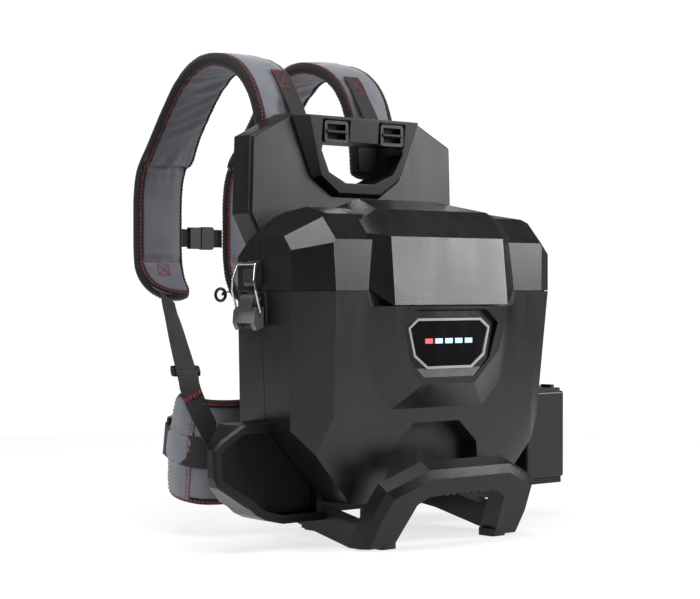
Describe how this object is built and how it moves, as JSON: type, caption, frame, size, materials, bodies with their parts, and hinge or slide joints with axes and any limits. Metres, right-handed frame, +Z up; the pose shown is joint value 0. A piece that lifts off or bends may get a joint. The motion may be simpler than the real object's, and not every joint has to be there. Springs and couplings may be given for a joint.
{
  "type": "battery backpack",
  "caption": "Backpack power unit: hard battery case with latched lift-off lid on a carrying frame with back plate, grip hoop, side wings, padded shoulder straps and hip belt.",
  "frame": {"origin": "on the floor under the middle of the overall box", "axes": "+Z up, -Y towards the front of the case, +Y towards the wearer, +X to the wearer's right"},
  "size_m": [0.568, 0.5545, 0.6079],
  "materials": {
    "case_plastic": "fine-grained black, semi-gloss",
    "frame_plastic": "coarse-grained black, matt",
    "plate_plastic": "grained charcoal, semi-gloss",
    "panel_plastic": "black, matt",
    "buckle_plastic": "black, moulded",
    "lever_grey": "dark grey, worn edges",
    "keeper_black": "black",
    "bail_wire": "bright wire",
    "pin_steel": "turned",
    "foot_rubber": "matt",
    "seal_rubber": "matt",
    "pad_nylon": "slate blue-grey nylon with black binding",
    "back_mesh": "dark spacer mesh",
    "webbing": "black woven webbing",
    "badge_silver": "satin silver",
    "badge_rim_light": "pale translucent rim",
    "badge_black": "polished black",
    "lamp": "translucent",
    "pack_plastic": "dark grey battery housing",
    "copper": "bright copper",
    "board_green": "circuit board",
    "heatsink_alu": "extruded"
  },
  "bodies": {
    "frame": {"back_pad": "back_mesh", "back_plate": "plate_plastic", "badge_bezel": "badge_silver", "badge_rim": "badge_rim_light", "badge_window": "badge_black", "base_frame": "frame_plastic", "battery_dock": "panel_plastic", "board_posts": "panel_plastic", "bus_bars": "copper", "case_front_shell": "case_plastic", "case_rear_shell": "case_plastic", "case_screws": "pin_steel", "charge_lamps": "lamp", "chest_buckle_socket": "buckle_plastic", "chest_buckle_tongue": "buckle_plastic", "chest_straps": "webbing", "contact_blades": "copper", "controller_board": "board_green", "controller_heatsink": "heatsink_alu", "feet": "foot_rubber", "front_hoop": "frame_plastic", "gauge_board": "board_green", "handle_surround": "plate_plastic", "hip_buckle_socket": "buckle_plastic", "hip_buckle_tongue": "buckle_plastic", "hip_pad_left": "pad_nylon", "hip_pad_right": "pad_nylon", "hip_strap_left": "webbing", "hip_strap_right": "webbing", "latch_brackets": "keeper_black", "latch_pins": "pin_steel", "lid_seal": "seal_rubber", "lifter_buckles": "buckle_plastic", "lifter_strap_left": "webbing", "lifter_strap_right": "webbing", "lifter_tails": "webbing", "lower_straps": "webbing", "lumbar_pad": "back_mesh", "outlet_socket": "buckle_plastic", "ring_loop": "webbing", "shoulder_pad_left": "pad_nylon", "shoulder_pad_right": "pad_nylon", "side_wing_left": "frame_plastic", "side_wing_right": "frame_plastic", "strap_adjusters": "buckle_plastic", "tip_straps": "webbing", "wing_panel_left": "panel_plastic"},
    "lid": {"lid_front_shell": "case_plastic", "lid_rear_shell": "case_plastic", "latch_keepers": "keeper_black"},
    "left_lever": {"latch_lever_left": "lever_grey"},
    "left_bail": {"latch_bail_left": "bail_wire"},
    "right_lever": {"latch_lever_right": "lever_grey"},
    "right_bail": {"latch_bail_right": "bail_wire"},
    "pack_1": {"battery_pack_1": "pack_plastic"},
    "pack_2": {"battery_pack_2": "pack_plastic"},
    "pack_3": {"battery_pack_3": "pack_plastic"},
    "pack_4": {"battery_pack_4": "pack_plastic"},
    "adapter": {"adapter_module": "plate_plastic"},
    "ring": {"strap_ring": "buckle_plastic"}
  },
  "joints": [
    {"name": "lid_lift", "type": "slide", "parent": "frame", "child": "lid", "axis": [0, -0.5, 0.866], "range_m": [0, 0.16]},
    {"name": "left_lever_swing", "type": "hinge", "parent": "frame", "child": "left_lever", "pos_m": [-0.217, -0.1348, 0.29], "axis": [0, 1, 0], "range_deg": [0, 125]},
    {"name": "left_bail_swing", "type": "hinge", "parent": "left_lever", "child": "left_bail", "pos_m": [-0.219, -0.1348, 0.274], "axis": [0, 1, 0], "range_deg": [-125, 0]},
    {"name": "right_lever_swing", "type": "hinge", "parent": "frame", "child": "right_lever", "pos_m": [0.217, -0.1348, 0.29], "axis": [0, -1, 0], "range_deg": [0, 125]},
    {"name": "right_bail_swing", "type": "hinge", "parent": "right_lever", "child": "right_bail", "pos_m": [0.219, -0.1348, 0.274], "axis": [0, -1, 0], "range_deg": [-125, 0]},
    {"name": "pack_1_lift", "type": "slide", "parent": "frame", "child": "pack_1", "axis": [0, 0, 1], "range_m": [0, 0.038]},
    {"name": "pack_2_lift", "type": "slide", "parent": "frame", "child": "pack_2", "axis": [0, 0, 1], "range_m": [0, 0.038]},
    {"name": "pack_3_lift", "type": "slide", "parent": "frame", "child": "pack_3", "axis": [0, 0, 1], "range_m": [0, 0.038]},
    {"name": "pack_4_lift", "type": "slide", "parent": "frame", "child": "pack_4", "axis": [0, 0, 1], "range_m": [0, 0.038]},
    {"name": "adapter_lift", "type": "slide", "parent": "frame", "child": "adapter", "axis": [0, 0, 1], "range_m": [0, 0.072]},
    {"name": "ring_swing", "type": "hinge", "parent": "frame", "child": "ring", "pos_m": [0.034, 0.2582, 0.293], "axis": [0, 0, 1], "range_deg": [-50, 50]}
  ],
  "couplings": [
    {"joint": "left_bail_swing", "follows": "left_lever_swing", "ratio": -1},
    {"joint": "right_bail_swing", "follows": "right_lever_swing", "ratio": -1}
  ]
}
